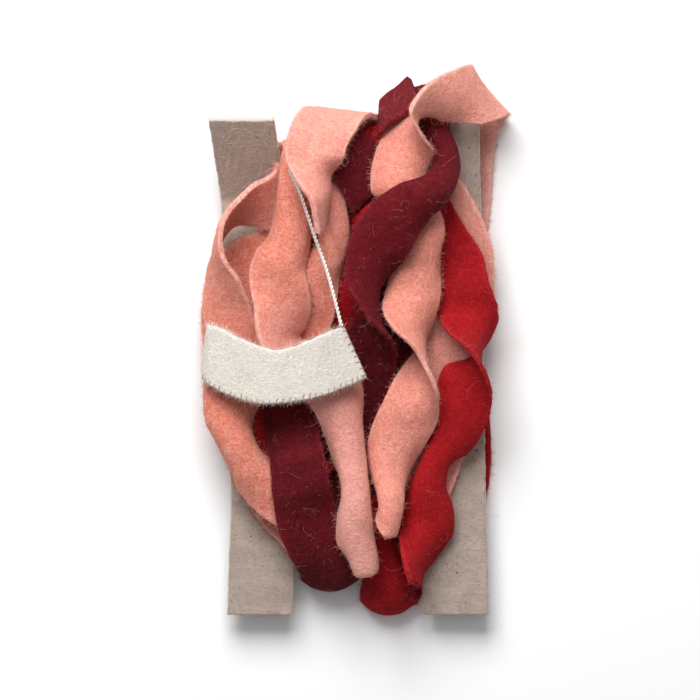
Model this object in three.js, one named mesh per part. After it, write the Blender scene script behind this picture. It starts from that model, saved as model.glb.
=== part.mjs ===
// A felt ribbon garland on its card winder, lying on its back on a table.
// Millimetres. +Z points up from the table, +Y to the garland's top end, +X to the right.
import * as THREE from "three";

// Driving sizes
const feltWidth = 30;
const feltThickness = 3;
const ribbonStrips = 4; // facets across a ribbon's width
const stepLength = 11; // length of one facet along a ribbon
const airGap = 0.5; // between felt and whatever it lies on
const flatRoll = 0.01; // radians, the least roll that a section is drawn with

// How the ribbons settle on one another
const settling = {
  rounds: 80,
  looseShare: 0.75, // of the rounds, in which every move is evened out and drawn back
  evening: 0.2,
  drawBack: 0.95,
  step: 0.8, // share of a needed move that is made in one round
  upperShare: 0.6, // the upper one's part of a move up or down
  farthest: 10, // that any place of a ribbon moves
  leastMove: 0.02,
  cost: { up: 1, down: 2, away: 2, slope: 1.4, along: 2.5 },
  sampleReach: 2.1, // how far a sample point stands for the cloth about it
  deepest: 20, // that one ribbon can lie inside another's way
  planMargin: 3, // about a stretch's box
  meeting: 4, // in plan, between points that lie over one another
  ownNeighbours: 5, // stretches of the same ribbon that can't meet
  orderReach: 2, // stretches about a pair that are asked which one goes over
  boardSkin: 0.3, // added to the board's half thickness
  sidewaysBelow: 0.5, // the upright share of a push under which it counts as sideways
};

const card = {
  legWidth: 33,
  barBottom: -82,
  barTop: 72,
  underside: 11,
  thickness: 4.5,
  bendAngle: 24, // the upper left leg is bent up at the bar
  barMiddle: 4,
  // y, the left leg's outer edge, the right leg's outer edge
  rows: [
    [-135, -60.5, 70.5],
    [-82, -58.5, 69],
    [72, -63.5, 66.5],
    [119, -70, 65.5],
  ],
};

// Columns of every ribbon table, a row for each station along its centre line:
// x, y, z   the place of the centre line
// heading   plan direction of the ribbon's width, in degrees from +X
// tilt      how far the width leans out of the plan, in degrees
// curl      how far the section is rolled, in degrees

const pinkLowLeft = {
  frontRun: [
    [-29, 49, 20.4, -55, 9, 0],
    [-37, 44, 19.4, -55, 5, 0],
    [-48.5, 39, 18.3, -42, 2, 0],
    [-57.5, 25, 17.8, -18, 0, 0],
    [-58, 2, 17.8, 0, 0, 0],
    [-56, -20, 17.8, 5, 0, 0],
    [-51, -44, 17.8, 10, 0, 0],
    [-40, -66, 17.8, 17, 0, 0],
    [-31, -80.5, 17.8, 32, 0, 0],
    [-22, -90, 17.8, 36, 0, 0],
    [-16.5, -96, 17.8, 38, 0, 0],
  ],
};

const pinkFarLeft = {
  frontRun: [
    [-24.5, 81.5, 20, -45, -5, 0],
    [-28.3, 76.5, 24, -57, -14, 0],
    [-37.5, 72, 29.5, -70, -32, 10],
    [-49, 70, 35, -53, -58, 20],
    [-61, 61.5, 36.5, -15, -80, 30],
    [-65, 46, 36, 0, -97, 30],
    [-62, 33, 35.2, 0, -120, 30],
    [-59, 18, 32.2, 0, -142, 20],
    [-56.5, 4, 30.2, 0, -155, 20],
    [-56.5, -12, 29.2, 0, -165, 20],
    [-57, -26, 29.2, 0, -175, 60],
    [-57.5, -37, 30.2, 8, -182, 150],
    [-54, -48, 30.7, 18, -185, 205],
    [-48.5, -58, 30.2, 25, -185, 205],
    [-42, -66.5, 28.5, 36, -185, 150],
    [-33, -73.5, 26.5, 50, -183, 60],
    [-23, -80, 26, 55, -180, 0],
  ],
};

const pinkCentreLeft = {
  backRun: [
    [-43, -40, 1.5, 0, 0, 0],
    [-43, 10, 1.5, 0, 0, 0],
    [-40, 45, 1.5, -8, 0, 0],
    [-29, 72, 2.5, -20, 0, 0],
    [-19, 90, 5.2, -18, 0, 0],
    [-16.5, 99, 9, 0, 0, -30],
  ],
  frontRun: [
    [-16, 103, 20, 0, 0, -80],
    [-17, 101, 30, 0, 0, -110],
    [-20, 93, 40.5, 0, 0, -140],
    [-25, 84, 43, 0, 0, -220],
    [-27, 74, 43, 0, 0, -225],
    [-27, 63, 42.6, 0, 0, -205],
    [-28.5, 51, 41.6, 0, 5, -175],
    [-31.5, 40, 41.1, 0, 0, -120],
    [-34, 30, 39.5, 0, 0, -50],
    [-34, 18, 40.5, 2, -20, -20],
    [-34, 8, 41.5, 8, -38, -20],
    [-32, -1, 41.5, 20, -50, -30],
    [-23, -10, 41.5, 38, -42, -30],
    [-12, -18, 40.5, 36, -25, -30],
    [-5, -28, 39.5, 15, -22, -80],
    [-1.5, -42, 37, 5, -25, -180],
    [2, -60, 37.5, 5, -25, -250],
    [3.5, -72, 38, 5, -25, -285],
    [4.8, -84, 38, 0, -20, -230],
    [6.4, -96, 37, -3, -20, -200],
    [8.5, -107, 35, -6, -25, -270],
    [10, -115, 33, -8, -35, -290],
  ],
};

const pinkTopLeft = {
  frontRun: [
    [13, 92, 1.5, 45, 0, 0],
    [8, 101, 2.5, 42, 5, 0],
    [4.5, 110, 11, 20, 20, 0],
    [1, 115.5, 23, 0, 40, 0],
    [-4, 116, 34, -12, 40, 0],
    [-9.5, 112, 46.5, -32, 25, 0],
    [-14.5, 104.5, 53, -40, 8, -30],
    [-16.5, 94, 56, -20, 0, -70],
    [-15.5, 84, 56, -5, -52, -60],
    [-12.5, 75, 57, 5, -70, -40],
    [-12, 66, 54, 8, -80, -30],
    [-12.5, 60, 52, 5, -86, -30],
  ],
};

const pinkRight = {
  behindLeg: [
    [50, -30, 1.5, 0, 0, 0],
    [50, 20, 1.5, 0, 0, 0],
    [54, 50, 1.5, 0, 0, 0],
    [56.5, 75, 1.5, 0, 0, 0],
    [58, 97, 1.5, -2, 0, 0],
    [61, 111, 2.5, -8, 0, 0],
    [66, 121, 8, -28, 0, 0],
    [69, 125.5, 18, -45, 0, 0],
    [69.5, 126, 30, -52, -3, 0],
    [65, 125.5, 40, -66, -10, -30],
    [56.5, 124.5, 45, -84, -24, -60],
    [48, 122, 46, -92, -38, -50],
    [41.5, 119.5, 46, -80, -56, -20],
    [36.2, 116, 45, -45, -76, 0],
  ],
  leaf: [
    [32.5, 111.5, 43, -20, 242, 20],
    [30, 104, 41, -3, 215, 50],
    [28.5, 95, 39, 0, 193, 100],
    [27.5, 86, 38, 0, 182, 115],
    [27.5, 78, 37, 5, 180, 120],
    [32, 70.5, 33, 25, 180, 210],
    [39, 65, 29.5, 20, 180, 245],
    [41, 58, 29, 0, 178, 240],
    [38.5, 51, 30, -10, 175, 210],
    [35.5, 40, 32, -5, 178, 160],
    [33.5, 28, 33, 0, 182, 110],
    [34, 18, 34, 0, 162, 80],
    [34.5, 7, 36, 0, 128, 60],
    [35, -3, 37, 0, 92, 60],
    [32.5, -16, 36, 0, 48, 60],
    [29, -30, 34, 0, 10, -80],
    [26.5, -44, 32, -8, 0, -80],
    [22.5, -56, 31, -12, 0, -150],
    [20.5, -68, 33, -3, -5, -220],
    [19.5, -79, 36, 3, -15, -290],
    [20.5, -89, 37, 5, -50, -250],
    [22.5, -98, 37, 5, -85, -150],
  ],
};

const pinkMiddle = {
  frontRun: [
    [-2.5, 80, 30, 0, 0, -240],
    [-3, 71, 33, 0, 0, -265],
    [-3.5, 60, 34.5, 0, 0, -265],
    [-6, 49, 34, -5, 5, -240],
    [-11, 37, 31, -22, 5, -180],
    [-16, 25, 29, -22, 5, -60],
    [-21, 13, 27.5, -15, 0, 0],
    [-25, 2, 25.3, -10, 0, 0],
  ],
};

const pinkBehind = {
  frontRun: [
    [37, 84, 17.8, 20, 0, 0],
    [42, 76, 17.8, 33, 0, 0],
    [47.5, 67, 17.8, 33, 0, 0],
    [52, 58.5, 17.8, 28, 0, 0],
    [55.5, 48, 17.8, 15, 0, 0],
    [56.5, 38, 17.8, 5, 0, 0],
    [56, 26, 17.8, 0, 0, 0],
    [53.5, 14, 17.8, -5, 0, 0],
    [51, 2, 17.8, -3, 0, 0],
    [49.5, -12, 17.8, 0, 0, 0],
    [49, -32, 17.8, 0, 0, 0],
    [44, -50, 17.8, -12, 0, 0],
    [38.5, -66, 17.8, -18, 0, 0],
    [34, -78, 17.8, -18, 0, 0],
  ],
};

const burgundyBehind = {
  frontRun: [
    [-5, 77, 17.8, -20, 0, 0],
    [-8, 66, 17.8, -14, 0, 0],
    [-10, 50, 17.8, -5, 0, 0],
    [-10.5, 28, 17.8, 0, 0, 0],
    [-10, 4, 17.8, 2, 0, 0],
    [-9, -22, 17.8, 0, 0, 0],
    [-7, -48, 17.8, 5, 0, 0],
    [-3, -72, 17.8, 8, 0, 0],
    [4, -81, 17.8, 0, 0, 0],
  ],
};

const burgundyUnder = {
  frontRun: [
    [28, 60, 17.8, -8, 0, 0],
    [26, 42, 17.8, -5, 0, 0],
    [24.5, 20, 17.8, -3, 0, 0],
    [23, -12, 17.8, 0, 0, 0],
  ],
};

const burgundyCentre = {
  frontRun: [
    [-28, -12, 30, 0, 8, -40],
    [-29, -24, 31.5, 0, 14, -60],
    [-29.5, -38, 33, 0, 18, -80],
    [-28, -56, 33.5, 5, 18, -80],
    [-24, -74, 33, 12, 10, -60],
    [-17.5, -93, 31, 18, 0, -40],
    [-11, -108, 27, 12, 0, -40],
    [-8.5, -117, 20, 0, 0, -90],
  ],
  turn: [
    [-8.5, -119.5, 11, 0, 0, -90],
    [-8, -111, 3, 0, 0, -20],
    [-7, -98, 1.5, 0, 0, 0],
    [-7, -70, 1.5, 0, 0, 0],
  ],
};

const burgundyHook = {
  backRun: [
    [28, 76, 8.6, 0, 0, 0],
    [30, 98, 8.6, 0, 0, 0],
    [35, 112, 8.3, 0, 0, 0],
    [39, 121, 7.9, 0, 0, -20],
    [43, 126.6, 15, 0, 0, -70],
  ],
  frontRun: [
    [43.5, 125, 25, 0, 0, -140],
    [42, 118, 31, 0, 10, -200],
    [42, 107, 34, 0, 12, -260],
    [45.5, 98, 37, 0, 8, -290],
    [46, 89.5, 40, -14, 8, -285],
    [42, 81.5, 45.5, -32, 4, -230],
    [34.5, 75, 49.5, -48, 0, -175],
    [27, 67.5, 52, -50, 0, -130],
    [20, 58.5, 51, -42, 0, -60],
    [15.5, 48.5, 48, -25, -8, -30],
    [13.5, 36.5, 44, -10, -38, -40],
    [15, 24, 38.5, 0, -85, -60],
    [16, 12, 33, 0, -130, -50],
    [15, -1, 27, 0, -160, 20],
    [13, -14, 23, 0, -175, 0],
    [12.5, -28, 21.5, 0, -180, 0],
    [12, -45, 21.5, 0, -180, 0],
    [12, -74, 21.5, 0, -180, 0],
  ],
};

const burgundyMiddle = {
  frontRun: [
    [-6, 97, 34, 48, -20, -50],
    [1, 91.5, 34, 48, -20, -50],
    [6, 84, 34, 42, -20, -50],
    [10.5, 76, 35.5, 38, -15, -40],
    [12, 74, 37.5, 38, -5, -30],
  ],
};

const burgundyEnd = {
  frontRun: [
    [33.6, 126.5, 34, -42, 69, 0],
    [28.2, 119.9, 32, -48, 69, 0],
    [22.2, 114.9, 29, -55, 69, 0],
    [17.7, 110.9, 26, -58, 69, 0],
  ],
};

const redMiddle = {
  frontRun: [
    [15, 84, 5, 0, 0, 0],
    [15, 98, 6, 0, 0, 0],
    [15, 107.5, 13, 0, 0, 0],
    [15, 107.5, 22, 0, 0, -10],
    [14.5, 99, 25, -5, 5, -40],
    [12, 90, 24, -10, 10, -90],
    [10.5, 80, 23.5, -10, 10, -120],
    [10, 68, 24.5, -5, 10, -140],
    [9.5, 56, 26, -5, 10, -180],
    [7.5, 44, 26.5, -10, 10, -200],
    [3, 34, 26, -12, 10, -200],
    [-2.5, 23, 24.6, -15, 5, -160],
    [-9, 12, 21.3, -22, 0, -60],
    [-16.3, 1, 21.2, -35, 0, 0],
    [-26, -10, 21.4, -45, 0, 0],
    [-38, -20, 22.2, -42, 0, 0],
    [-46.5, -31, 22.3, -12, 0, 0],
    [-46, -44, 22.3, 15, 0, 0],
    [-38, -56, 21.8, 35, 0, 0],
    [-26, -66, 22.3, 38, 0, 0],
    [-14, -73.5, 21.5, 35, 0, 0],
  ],
};

const redLow = {
  frontRun: [
    [1, -80, 20, 20, 0, -60],
    [5.5, -91, 19, 20, 0, -140],
    [12.5, -102, 17, 15, 0, -180],
    [18, -113, 17, 8, 0, -150],
    [19.5, -123, 16, 0, 0, -140],
    [19.5, -129.5, 12, 0, 0, -130],
  ],
  turn: [
    [19.5, -131.5, 6.5, 0, 0, -110],
    [21, -124, 2.5, 0, 0, -10],
    [25, -112, 1.5, 0, 0, 0],
    [27, -80, 1.5, 0, 0, 0],
  ],
};

const redRight = {
  frontRun: [
    [31, 76, 21.4, 25, 0, 0],
    [38, 64, 21.5, 28, 5, -20],
    [45, 51.5, 22.5, 30, 10, -40],
    [52.5, 40, 24, 28, 15, -40],
    [54.5, 28, 25.5, 12, 18, -40],
    [56, 17, 28, 0, 5, -30],
    [58, 8, 31, -5, -35, -30],
    [62, -3.5, 33, -5, -85, -50],
    [59, -13, 33, 5, -135, -30],
    [57, -25, 32, -3, -165, 30],
    [53, -37, 31.5, -12, -180, 50],
    [47.5, -49, 30, -20, -180, 150],
    [42, -59, 29, -15, -182, 275],
    [40, -69, 28, 0, -190, 215],
    [39.8, -80, 27.5, 0, -185, 150],
    [39.5, -90, 27.5, 0, -190, 120],
    [35.8, -101, 30, 0, -226, 90],
    [33.8, -111, 33, 0, -252, 60],
    [34, -120, 34, 0, -262, 40],
  ],
};

const redBehind = {
  backRun: [
    [51, -2, 5.2, 4, 0, 0],
    [53.5, -20, 5.2, 3, 0, 0],
    [56, -38, 4.6, 2, 0, 0],
    [56.7, -53, 2.5, 0, 0, 0],
    [55, -70, 1.6, -4, 0, 0],
    [50, -88, 1.6, -8, 0, 0],
  ],
};

const tabDrawnDown = 1.1; // its stitches hold it closer than the loose runs lie

// The cream tab from its left end to its right end.
// x and y at its top edge, x and y at its bottom edge, z at the top and at the bottom edge
const tabRows = [
  [-69.5, 10, -72.5, -14, 31.5, 31.5],
  [-67.5, 9.5, -70, -19, 37.5, 37.5],
  [-61, 7.5, -63.5, -23, 42.5, 42.5],
  [-54, 3.5, -55, -26.5, 46.5, 46.5],
  [-44, -0.5, -45, -29, 50.5, 50.5],
  [-36, -2.5, -36.5, -29.2, 54.5, 54.5],
  [-27, -0.8, -26, -28.2, 56.5, 56.5],
  [-18, 3, -14, -25.5, 56.5, 56.5],
  [-9, 7, -4, -22, 53.5, 53.5],
  [-2.5, 9, 9, -16.5, 49.5, 49.5],
];

// The string from under the top left ribbon to the tab's top right corner
const string = {
  radius: 1,
  sides: 8,
  steps: 16,
  route: [
    [-29.5, 88, 50.2],
    [-27.8, 84, 50.5],
    [-24.5, 77, 50.8],
    [-20.8, 66.5, 50.9],
    [-17, 55, 51.2],
    [-10.8, 37.5, 52],
    [-6, 20, 52],
    [-3.4, 9.5, 51.3],
  ],
};

const radians = THREE.MathUtils.degToRad;

// A smooth value between four rows, for every column at once.
function between(a, b, c, d, s) {
  return b.map((value, k) => {
    const startSlope = (c[k] - a[k]) / 2;
    const endSlope = (d[k] - b[k]) / 2;
    const rise = c[k] - value;
    return (
      value +
      s * (startSlope + s * (3 * rise - 2 * startSlope - endSlope + s * (startSlope + endSlope - 2 * rise)))
    );
  });
}

// Stations a facet apart along one run of a ribbon.
function stationsOf(rows) {
  const stations = [];
  for (let i = 0; i + 1 < rows.length; i++) {
    const [a, b, c, d] = [i - 1, i, i + 1, i + 2].map(
      (k) => rows[Math.min(Math.max(k, 0), rows.length - 1)],
    );
    const gap = Math.hypot(c[0] - b[0], c[1] - b[1], c[2] - b[2]);
    const steps = Math.max(1, Math.round(gap / stepLength));
    for (let k = 0; k < steps; k++) stations.push(between(a, b, c, d, k / steps));
  }
  stations.push(rows.at(-1));
  return stations;
}

// The width's direction at a station, before it is squared to the centre line.
function widthDirection([, , , heading, tilt]) {
  const h = radians(heading);
  const t = radians(tilt);
  return new THREE.Vector3(Math.cos(h) * Math.cos(t), Math.sin(h) * Math.cos(t), Math.sin(t));
}

// Turns every run's width the same way round as the end of the run before it.
function joinRuns(runs) {
  const rows = [];
  for (const run of Object.values(runs)) {
    const last = rows.at(-1);
    const half = last && widthDirection(last).dot(widthDirection(run[0])) < 0 ? 180 : 0;
    let turns = 0;
    if (last) turns = 360 * Math.round((last[4] - run[0][4] - half) / 360);
    for (const [x, y, z, heading, tilt, curl] of run)
      rows.push([x, y, z, heading, tilt + half + turns, half ? -curl : curl]);
  }
  return rows;
}

// The section's corners at every station.
function ringsOf(stations) {
  const centres = stations.map(
    ([x, y, z]) => new THREE.Vector3(x, y, Math.max(z, feltThickness / 2)),
  );
  return stations.map((station, i) => {
    const ahead = centres[Math.min(i + 1, centres.length - 1)];
    const behind = centres[Math.max(i - 1, 0)];
    const along = ahead.clone().sub(behind).normalize();
    const across = widthDirection(station);
    across.addScaledVector(along, -across.dot(along)).normalize();
    const up = along.clone().cross(across);
    return section(centres[i], across, up, radians(station[5]));
  });
}

// Points on a ring's middle surface, from edge to edge.
function middleOf(ring) {
  const count = ring.length / 2;
  const points = [];
  for (let k = 0; k < count; k++) {
    points.push(ring[k].clone().add(ring[2 * count - 1 - k]).multiplyScalar(0.5));
    if (k > 0) points.splice(-1, 0, points.at(-2).clone().lerp(points.at(-1), 0.5));
  }
  return points;
}

// A ribbon, or a part of the board, as it takes part in the settling.
class Strand {
  constructor(rings, half, fixed = false) {
    this.rings = rings;
    this.half = half; // half its thickness
    this.fixed = fixed;
    this.middles = rings.map(middleOf);
    this.moves = rings.map(() => new THREE.Vector3());
  }
}

// The points of a strand's middle surface between two of its rings.
function patchOf(strand, i) {
  const points = [];
  for (const share of [0, 1 / 3, 2 / 3])
    strand.middles[i].forEach((from, k) => {
      const start = from.clone().add(strand.moves[i]);
      const end = strand.middles[i + 1][k].clone().add(strand.moves[i + 1]);
      points.push(start.lerp(end, share));
    });
  return points;
}

// How far points have to go along a direction to lie clear of other points.
function wayOut(points, others, direction, distance) {
  const { deepest, sampleReach } = settling;
  let need = 0;
  for (const p of points)
    for (const q of others) {
      const [x, y, z] = [p.x - q.x, p.y - q.y, p.z - q.z];
      const depth = x * direction.x + y * direction.y + z * direction.z;
      if (depth < -deepest || depth > distance) continue;
      const aside = Math.sqrt(Math.max(x * x + y * y + z * z - depth * depth, 0));
      const off = Math.max(aside - sampleReach, 0);
      if (off < distance) need = Math.max(need, Math.sqrt(distance ** 2 - off ** 2) - depth);
    }
  return need;
}

// A section's corners: one face from edge to edge, then the other face back.
function section(centre, across, up, curl) {
  const roll = Math.abs(curl) < flatRoll ? flatRoll : curl;
  const radius = feltWidth / roll;
  const middle = radius * (1 - Math.sin(roll / 2) / (roll / 2));
  const corners = [];
  for (const side of [1, -1])
    for (let k = 0; k <= ribbonStrips; k++) {
      const share = (side * (k / ribbonStrips - 0.5)) * roll;
      const depth = radius + (-side * feltThickness) / 2;
      corners.push(
        centre
          .clone()
          .addScaledVector(across, depth * Math.sin(share))
          .addScaledVector(up, radius - depth * Math.cos(share) - middle),
      );
    }
  return corners;
}

// A closed skin over a row of rings with the same number of corners.
function loft(rings) {
  const count = rings[0].length;
  const points = rings.flat().flatMap((p) => [p.x, p.y, p.z]);
  const faces = [];
  for (let i = 0; i + 1 < rings.length; i++)
    for (let k = 0; k < count; k++) {
      const [a, b] = [i * count + k, i * count + ((k + 1) % count)];
      faces.push(a, a + count, b, b, a + count, b + count);
    }
  for (const [start, flip] of [[0, false], [(rings.length - 1) * count, true]])
    for (let k = 0; k + 1 < count / 2; k++) {
      const quad = [start + k, start + k + 1, start + count - 2 - k, start + count - 1 - k];
      const [a, b, c, d] = flip ? quad.toReversed() : quad;
      faces.push(a, b, c, a, c, d);
    }
  const geometry = new THREE.BufferGeometry();
  geometry.setAttribute("position", new THREE.Float32BufferAttribute(points, 3));
  geometry.setIndex(faces);
  return geometry;
}

// The H-shaped board, with its upper left leg bent up.
function winder() {
  const { rows, legWidth, barTop, underside, thickness } = card;
  const bend = radians(card.bendAngle);
  const columns = ([, left, right]) => [left, left + legWidth, right - legWidth, right];
  const solid = (i, j) => i !== 1 || j === 1;
  const place = (i, j, level) => {
    const x = columns(rows[j])[i];
    const y = rows[j][0];
    const raised = level * thickness;
    if (i > 1 || y <= barTop) return [x, y, underside + raised];
    const length = y - barTop;
    return [
      x,
      barTop + length * Math.cos(bend) - raised * Math.sin(bend),
      underside + length * Math.sin(bend) + raised * Math.cos(bend),
    ];
  };
  const points = [];
  const quad = (a, b, c, d) => {
    for (const corner of [a, b, c, a, c, d]) points.push(...place(...corner));
  };
  const open = (i, j) => i < 0 || i > 2 || j < 0 || j > 2 || !solid(i, j);
  for (let i = 0; i < 3; i++)
    for (let j = 0; j < 3; j++) {
      if (open(i, j)) continue;
      quad([i, j, 1], [i + 1, j, 1], [i + 1, j + 1, 1], [i, j + 1, 1]);
      quad([i, j, 0], [i, j + 1, 0], [i + 1, j + 1, 0], [i + 1, j, 0]);
      if (open(i, j - 1)) quad([i, j, 0], [i + 1, j, 0], [i + 1, j, 1], [i, j, 1]);
      if (open(i, j + 1)) quad([i + 1, j + 1, 0], [i, j + 1, 0], [i, j + 1, 1], [i + 1, j + 1, 1]);
      if (open(i - 1, j)) quad([i, j + 1, 0], [i, j, 0], [i, j, 1], [i, j + 1, 1]);
      if (open(i + 1, j)) quad([i + 1, j, 0], [i + 1, j + 1, 0], [i + 1, j + 1, 1], [i + 1, j, 1]);
    }
  const geometry = new THREE.BufferGeometry();
  geometry.setAttribute("position", new THREE.Float32BufferAttribute(points, 3));
  return geometry;
}

// Every stretch of every strand, with its box.
function stretchesOf(strands) {
  const stretches = [];
  for (const strand of strands)
    for (let i = 0; i + 1 < strand.rings.length; i++) {
      const points = patchOf(strand, i);
      stretches.push({ strand, i, points, box: new THREE.Box3().setFromPoints(points) });
    }
  return stretches;
}

// Pairs of stretches that share some of the plan, and how much higher the first one lies.
function meetingPairs(stretches) {
  const { planMargin, meeting, ownNeighbours } = settling;
  const pairs = [];
  for (let a = 0; a < stretches.length; a++)
    for (let b = a + 1; b < stretches.length; b++) {
      const [s, t] = [stretches[a], stretches[b]];
      if (s.strand.fixed && t.strand.fixed) continue;
      if (s.strand === t.strand && Math.abs(s.i - t.i) < ownNeighbours) continue;
      const [near, far] = [s.box, t.box];
      if (near.min.x > far.max.x + planMargin || far.min.x > near.max.x + planMargin) continue;
      if (near.min.y > far.max.y + planMargin || far.min.y > near.max.y + planMargin) continue;
      let above = 0;
      let meets = false;
      for (const p of s.points)
        for (const q of t.points)
          if (Math.hypot(p.x - q.x, p.y - q.y) < meeting) {
            above += p.z - q.z;
            meets = true;
          }
      if (meets) pairs.push({ a, b, above });
    }
  return pairs;
}

// Gives every pair its order: 1 if the first one goes over, by how the places about it lie.
function orderPairs(pairs, stretches) {
  const { orderReach } = settling;
  const count = stretches.length;
  const table = new Map(pairs.map((pair) => [pair.a * count + pair.b, pair.above]));
  for (const pair of pairs) {
    let sum = 0;
    for (let i = -orderReach; i <= orderReach; i++)
      for (let j = -orderReach; j <= orderReach; j++) {
        const [a, b] = [pair.a + i, pair.b + j];
        if (stretches[a]?.strand !== stretches[pair.a].strand) continue;
        if (stretches[b]?.strand !== stretches[pair.b].strand) continue;
        sum += table.get(a * count + b) ?? 0;
      }
    pair.order = sum > 0 ? 1 : -1;
  }
  const onBoard = ({ a, b }) => Number(stretches[a].strand.fixed || stretches[b].strand.fixed);
  pairs.sort((p, q) => onBoard(p) - onBoard(q));
}

// The cheapest move that takes the first stretch clear of the second.
function cheapestPush(s, t, order) {
  const reach = s.strand.half + t.strand.half + airGap;
  if (!s.box.clone().expandByScalar(reach).intersectsBox(t.box)) return null;
  const { cost } = settling;
  const away = s.box.getCenter(new THREE.Vector3()).sub(t.box.getCenter(new THREE.Vector3()));
  away.setZ(0).normalize();
  const up = new THREE.Vector3(0, 0, order);
  const along = new THREE.Vector3(-away.y, away.x, 0);
  const ways = [
    [up, cost.up],
    [up.clone().negate(), cost.down],
    [away, cost.away],
    [up.clone().add(away).normalize(), cost.slope],
    [along, cost.along],
    [along.clone().negate(), cost.along],
  ];
  let push = null;
  let least = Infinity;
  for (const [way, price] of ways) {
    const need = wayOut(s.points, t.points, way, reach);
    if (need * price >= least) continue;
    least = need * price;
    push = way.clone().multiplyScalar(need);
  }
  return push.length() < settling.leastMove ? null : push;
}

// One stretch's part of a push between two.
function shareOf(one, other, push, sign) {
  if (one.strand.fixed) return 0;
  if (other.strand.fixed) return 1;
  const { sidewaysBelow, upperShare } = settling;
  if (Math.abs(push.z) < sidewaysBelow * push.length()) return 1 / 2;
  return push.z * sign > 0 ? upperShare : 1 - upperShare;
}

// Lifts, lowers and nudges the strands until none cuts another.
function settle(strands) {
  const { rounds, looseShare, evening, drawBack, step, farthest } = settling;
  let stretches = stretchesOf(strands);
  const pairs = meetingPairs(stretches);
  orderPairs(pairs, stretches);
  for (let round = 0; round < rounds; round++) {
    for (const pair of pairs) {
      const [s, t] = [stretches[pair.a], stretches[pair.b]];
      const push = cheapestPush(s, t, pair.order);
      if (!push) continue;
      for (const [stretch, other, sign] of [[s, t, 1], [t, s, -1]]) {
        const move = push.clone().multiplyScalar(step * sign * shareOf(stretch, other, push, sign));
        stretch.strand.moves[stretch.i].add(move);
        stretch.strand.moves[stretch.i + 1].add(move);
        for (const point of stretch.points) point.add(move);
        stretch.box.translate(move);
      }
    }
    const loose = round < rounds * looseShare;
    for (const { moves, rings, fixed } of strands) {
      if (fixed) continue;
      const old = moves.map((move) => move.clone());
      moves.forEach((move, i) => {
        const beside = old[Math.max(i - 1, 0)].clone().add(old[Math.min(i + 1, old.length - 1)]);
        if (loose) move.lerp(beside.multiplyScalar(0.5), evening);
        move.clampLength(0, farthest);
        if (loose) move.multiplyScalar(drawBack);
        const lowest = Math.min(...rings[i].map((p) => p.z)) + move.z;
        if (lowest < 0) move.z -= lowest;
      });
    }
    stretches = stretchesOf(strands);
  }
}

// Fixed strands over the board's parts, which the ribbons lie on.
function boardStrands() {
  const { rows, legWidth, barBottom, barTop, barMiddle, underside, thickness } = card;
  const edge = (y, side) => {
    const at = Math.max(rows.findIndex((row) => row[0] >= y), 1);
    const [a, b] = [rows[at - 1], rows[at]];
    return THREE.MathUtils.mapLinear(y, a[0], b[0], a[side], b[side]);
  };
  const bend = radians(card.bendAngle);
  const strand = (from, to, placeOf, bent = false) => {
    const steps = Math.ceil((to - from) / stepLength);
    const rings = [];
    for (let j = 0; j <= steps; j++) {
      const y = from + ((to - from) * j) / steps;
      const [left, right] = placeOf(y);
      const over = bent ? Math.max(y - barTop, 0) : 0;
      const z = underside + thickness / 2 + over * Math.sin(bend);
      const ring = [];
      for (let k = 0; k <= ribbonStrips; k++)
        ring.push(
          new THREE.Vector3(
            left + ((right - left) * k) / ribbonStrips,
            y - over * (1 - Math.cos(bend)),
            z,
          ),
        );
      rings.push([...ring, ...ring.toReversed()]);
    }
    return new Strand(rings, thickness / 2 + settling.boardSkin, true);
  };
  const [bottom, top] = [rows[0][0], rows.at(-1)[0]];
  return [
    strand(bottom, top, (y) => [edge(y, 1), edge(y, 1) + legWidth], true),
    strand(bottom, top, (y) => [edge(y, 2) - legWidth, edge(y, 2)]),
    strand(barBottom, barTop, (y) => [edge(y, 1) + legWidth, barMiddle]),
    strand(barBottom, barTop, (y) => [barMiddle, edge(y, 2) - legWidth]),
  ];
}

function ribbon(runs) {
  return new Strand(ringsOf(stationsOf(joinRuns(runs))), feltThickness / 2);
}

// The tab's section at every row.
function tabRings() {
  const rows = tabRows.map(([topX, topY, lowX, lowY, topZ, lowZ]) => [
    new THREE.Vector3(topX, topY, topZ),
    new THREE.Vector3(lowX, lowY, lowZ),
  ]);
  return rows.map(([top, low], i) => {
    const ahead = rows[Math.min(i + 1, rows.length - 1)];
    const behind = rows[Math.max(i - 1, 0)];
    const along = ahead[0].clone().add(ahead[1]).sub(behind[0]).sub(behind[1]).normalize();
    const up = low.clone().sub(top).cross(along).normalize();
    const ring = [];
    for (const side of [-1, 1])
      for (let k = 0; k <= ribbonStrips; k++) {
        const share = side < 0 ? k / ribbonStrips : 1 - k / ribbonStrips;
        ring.push(top.clone().lerp(low, share).addScaledVector(up, (side * feltThickness) / 2));
      }
    return ring;
  });
}

// The string as a tube along its route.
function stringTube() {
  const { radius, sides, steps, route } = string;
  const outline = new THREE.Shape();
  for (let k = 0; k < sides; k++) {
    const angle = (2 * Math.PI * k) / sides;
    const point = [radius * Math.cos(angle), radius * Math.sin(angle)];
    if (k === 0) outline.moveTo(...point);
    else outline.lineTo(...point);
  }
  const extrudePath = new THREE.CatmullRomCurve3(route.map((p) => new THREE.Vector3(...p)));
  return new THREE.ExtrudeGeometry(outline, { steps, extrudePath, bevelEnabled: false });
}

function matte(color, roughness) {
  return new THREE.MeshStandardMaterial({ color, roughness, metalness: 0 });
}

const pink = matte(0xea9683, 0.95);
const burgundy = matte(0x6b1024, 0.95);
const red = matte(0xb31727, 0.95);
const cream = matte(0xe9e4db, 0.95);
const cotton = matte(0xded7cb, 0.95);
const board = matte(0xb0a59c, 0.9);

const garland = new THREE.Group();

function add(name, geometry, material) {
  const mesh = new THREE.Mesh(geometry, material);
  mesh.name = name;
  garland.add(mesh);
}

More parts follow.
